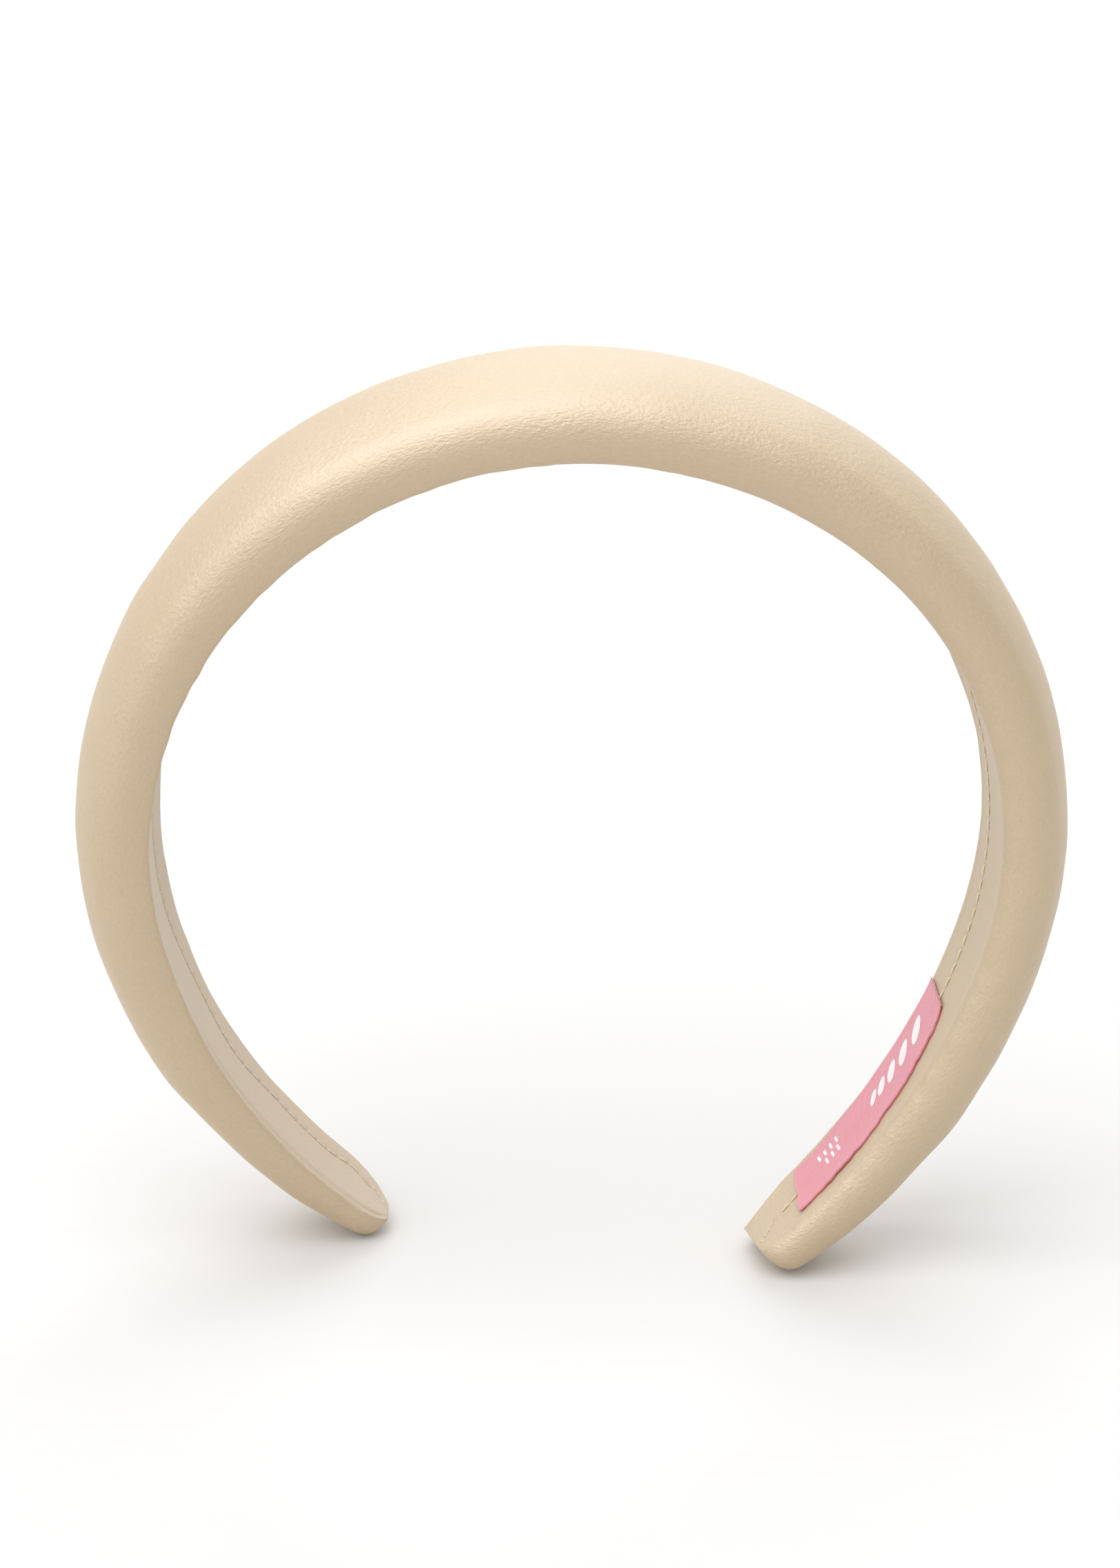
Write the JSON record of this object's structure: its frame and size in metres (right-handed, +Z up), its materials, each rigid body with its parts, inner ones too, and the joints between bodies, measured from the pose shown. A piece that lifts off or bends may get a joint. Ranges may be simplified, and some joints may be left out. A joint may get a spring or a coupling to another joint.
{
  "type": "padded headband",
  "caption": "Padded hair band: a springy plastic arch with a domed foam pad wrapped in ivory silk satin, slip-stitched inside, with a plain ribbon label near one tip.",
  "frame": {"origin": "on the floor, midway between the two resting tips, under the top of the crown", "axes": "+Z up through the top of the crown; +X from the left leg to the right leg, the one with the label, seen from the front; +Y from front to back across the width of the crown"},
  "size_m": [0.1656, 0.036, 0.159],
  "materials": {
    "silk_satin": "satin",
    "silk_thread": "satin",
    "core_plastic": "satin",
    "tape_film": "gloss",
    "pad_foam": "matte",
    "label_ribbon": "satin",
    "label_backing": "matte"
  },
  "bodies": {
    "crown": {"core_crown": "core_plastic", "tape_crown": "tape_film", "foam_crown": "pad_foam", "cover_crown": "silk_satin", "seam_stitches_crown": "silk_thread"},
    "left_leg": {"core_left": "core_plastic", "tape_left": "tape_film", "foam_left": "pad_foam", "cover_left": "silk_satin", "seam_stitches_left": "silk_thread", "tip_fold_left": "silk_satin", "tip_tacks_left": "silk_thread"},
    "right_leg": {"core_right": "core_plastic", "tape_right": "tape_film", "foam_right": "pad_foam", "cover_right": "silk_satin", "seam_stitches_right": "silk_thread", "tip_fold_right": "silk_satin", "tip_tacks_right": "silk_thread", "label_backing": "label_backing", "ribbon_label": "label_ribbon"}
  },
  "joints": [
    {"name": "left_flex", "type": "hinge", "parent": "crown", "child": "left_leg", "pos_m": [-0.05092, 0, 0.12703], "axis": [0, 1, 0], "range_deg": [-6, 12], "stiffness_Nm_per_rad": 1.2},
    {"name": "right_flex", "type": "hinge", "parent": "crown", "child": "right_leg", "pos_m": [0.05092, 0, 0.12703], "axis": [0, -1, 0], "range_deg": [-6, 12], "stiffness_Nm_per_rad": 1.2}
  ]
}
